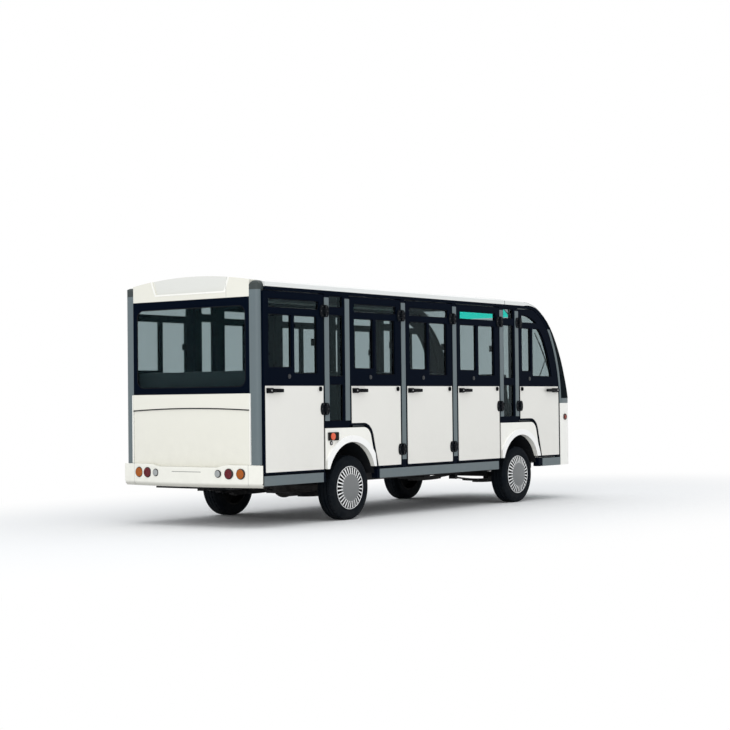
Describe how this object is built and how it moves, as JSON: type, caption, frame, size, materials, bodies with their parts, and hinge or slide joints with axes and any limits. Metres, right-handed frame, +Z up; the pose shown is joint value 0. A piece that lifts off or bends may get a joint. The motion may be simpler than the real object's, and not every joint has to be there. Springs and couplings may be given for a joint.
{
  "type": "sightseeing shuttle",
  "caption": "Enclosed electric sightseeing shuttle with hinged doors along both sides, bench seats, a bowed windscreen and steered front wheels.",
  "frame": {"origin": "on the ground under the middle of the outline", "axes": "+X forward, +Y to the left, +Z up"},
  "size_m": [5.22, 1.616, 2.085],
  "materials": {
    "white_paint": "glossy cream white",
    "door_paint": "black frame with a cream white lower skin",
    "slate_trim": "satin slate grey",
    "black_frame": "glossy black",
    "black_plastic": "satin black",
    "floor_black": "matt black",
    "tinted_glass": "lightly tinted, clear",
    "tyre_rubber": "matt black",
    "silver_cover": "silver grey",
    "dark_steel": "black chassis paint",
    "cast_housing": "dark cast",
    "amber_lens": "amber lens",
    "red_lens": "red lens",
    "clear_lens": "clear lens",
    "seat_shell": "dark grey",
    "seat_vinyl": "dark grey vinyl",
    "battery_case": "grey case",
    "orange_plastic": "orange cap on a dark box"
  },
  "bodies": {
    "shuttle": {"chassis_rails": "dark_steel", "floor": "floor_black", "rockers": "black_frame", "side_posts": "black_frame", "cant_rails": "black_frame", "trim_strips": "slate_trim", "hinge_leaves": "black_plastic", "arch_panels": "white_paint", "fixed_glass": "tinted_glass", "roof": "white_paint", "brow": "white_paint", "rear_visor": "white_paint", "corner_posts": "slate_trim", "rear_surround": "black_frame", "tail_panel": "white_paint", "rear_bumper": "white_paint", "turn_lamps": "amber_lens", "stop_lamps": "red_lens", "clear_lamps": "clear_lens", "nose": "white_paint", "windscreen": "tinted_glass", "dashboard": "black_plastic", "steering_wheel": "black_plastic", "seat_frames": "seat_shell", "seat_pads": "seat_vinyl", "battery_pack": "battery_case", "charge_port": "orange_plastic", "front_axle": "dark_steel", "rear_axle": "cast_housing", "leaf_springs": "dark_steel"},
    "wheel_rear_right": {"tyre_rear_right": "tyre_rubber", "wheel_rear_right": "silver_cover"},
    "wheel_rear_left": {"tyre_rear_left": "tyre_rubber", "wheel_rear_left": "silver_cover"},
    "wheel_front_right": {"tyre_front_right": "tyre_rubber", "wheel_front_right": "silver_cover"},
    "wheel_front_left": {"tyre_front_left": "tyre_rubber", "wheel_front_left": "silver_cover"},
    "knuckle_right": {"knuckle_right": "cast_housing"},
    "knuckle_left": {"knuckle_left": "cast_housing"},
    "door_right_1": {"door_right_1": "door_paint", "glass_right_1": "tinted_glass"},
    "door_right_2": {"door_right_2": "door_paint", "glass_right_2": "tinted_glass"},
    "door_right_3": {"door_right_3": "door_paint", "glass_right_3": "tinted_glass"},
    "door_right_4": {"door_right_4": "door_paint", "glass_right_4": "tinted_glass"},
    "door_right_5": {"door_right_5": "door_paint", "glass_right_5": "tinted_glass"},
    "door_left_1": {"door_left_1": "door_paint", "glass_left_1": "tinted_glass"},
    "door_left_2": {"door_left_2": "door_paint", "glass_left_2": "tinted_glass"},
    "door_left_3": {"door_left_3": "door_paint", "glass_left_3": "tinted_glass"},
    "door_left_4": {"door_left_4": "door_paint", "glass_left_4": "tinted_glass"},
    "door_left_5": {"door_left_5": "door_paint", "glass_left_5": "tinted_glass"}
  },
  "joints": [
    {"name": "spin_rear_right", "type": "hinge", "parent": "shuttle", "child": "wheel_rear_right", "pos_m": [-1.315, -0.6625, 0.279], "axis": [0, 1, 0], "continuous": true},
    {"name": "spin_rear_left", "type": "hinge", "parent": "shuttle", "child": "wheel_rear_left", "pos_m": [-1.315, 0.6625, 0.279], "axis": [0, 1, 0], "continuous": true},
    {"name": "spin_front_right", "type": "hinge", "parent": "knuckle_right", "child": "wheel_front_right", "pos_m": [1.47, -0.6625, 0.279], "axis": [0, 1, 0], "continuous": true},
    {"name": "spin_front_left", "type": "hinge", "parent": "knuckle_left", "child": "wheel_front_left", "pos_m": [1.47, 0.6625, 0.279], "axis": [0, 1, 0], "continuous": true},
    {"name": "steer_right", "type": "hinge", "parent": "shuttle", "child": "knuckle_right", "pos_m": [1.47, -0.6, 0.279], "axis": [0, 0, 1], "range_deg": [-30, 30]},
    {"name": "steer_left", "type": "hinge", "parent": "shuttle", "child": "knuckle_left", "pos_m": [1.47, 0.6, 0.279], "axis": [0, 0, 1], "range_deg": [-30, 30]},
    {"name": "swing_right_1", "type": "hinge", "parent": "shuttle", "child": "door_right_1", "pos_m": [-1.692, -0.78, 1.2], "axis": [0, 0, 1], "range_deg": [0, 75]},
    {"name": "swing_right_2", "type": "hinge", "parent": "shuttle", "child": "door_right_2", "pos_m": [-0.565, -0.78, 1.2], "axis": [0, 0, 1], "range_deg": [0, 75]},
    {"name": "swing_right_3", "type": "hinge", "parent": "shuttle", "child": "door_right_3", "pos_m": [0.274, -0.78, 1.2], "axis": [0, 0, 1], "range_deg": [0, 75]},
    {"name": "swing_right_4", "type": "hinge", "parent": "shuttle", "child": "door_right_4", "pos_m": [1.113, -0.78, 1.2], "axis": [0, 0, 1], "range_deg": [0, 75]},
    {"name": "swing_right_5", "type": "hinge", "parent": "shuttle", "child": "door_right_5", "pos_m": [1.471, -0.78, 1.2], "axis": [0, 0, -1], "range_deg": [0, 75]},
    {"name": "swing_left_1", "type": "hinge", "parent": "shuttle", "child": "door_left_1", "pos_m": [-1.692, 0.78, 1.2], "axis": [0, 0, -1], "range_deg": [0, 75]},
    {"name": "swing_left_2", "type": "hinge", "parent": "shuttle", "child": "door_left_2", "pos_m": [-0.565, 0.78, 1.2], "axis": [0, 0, -1], "range_deg": [0, 75]},
    {"name": "swing_left_3", "type": "hinge", "parent": "shuttle", "child": "door_left_3", "pos_m": [0.274, 0.78, 1.2], "axis": [0, 0, -1], "range_deg": [0, 75]},
    {"name": "swing_left_4", "type": "hinge", "parent": "shuttle", "child": "door_left_4", "pos_m": [1.113, 0.78, 1.2], "axis": [0, 0, -1], "range_deg": [0, 75]},
    {"name": "swing_left_5", "type": "hinge", "parent": "shuttle", "child": "door_left_5", "pos_m": [1.471, 0.78, 1.2], "axis": [0, 0, 1], "range_deg": [0, 75]}
  ],
  "couplings": [
    {"joint": "steer_right", "follows": "steer_left", "ratio": 1}
  ]
}
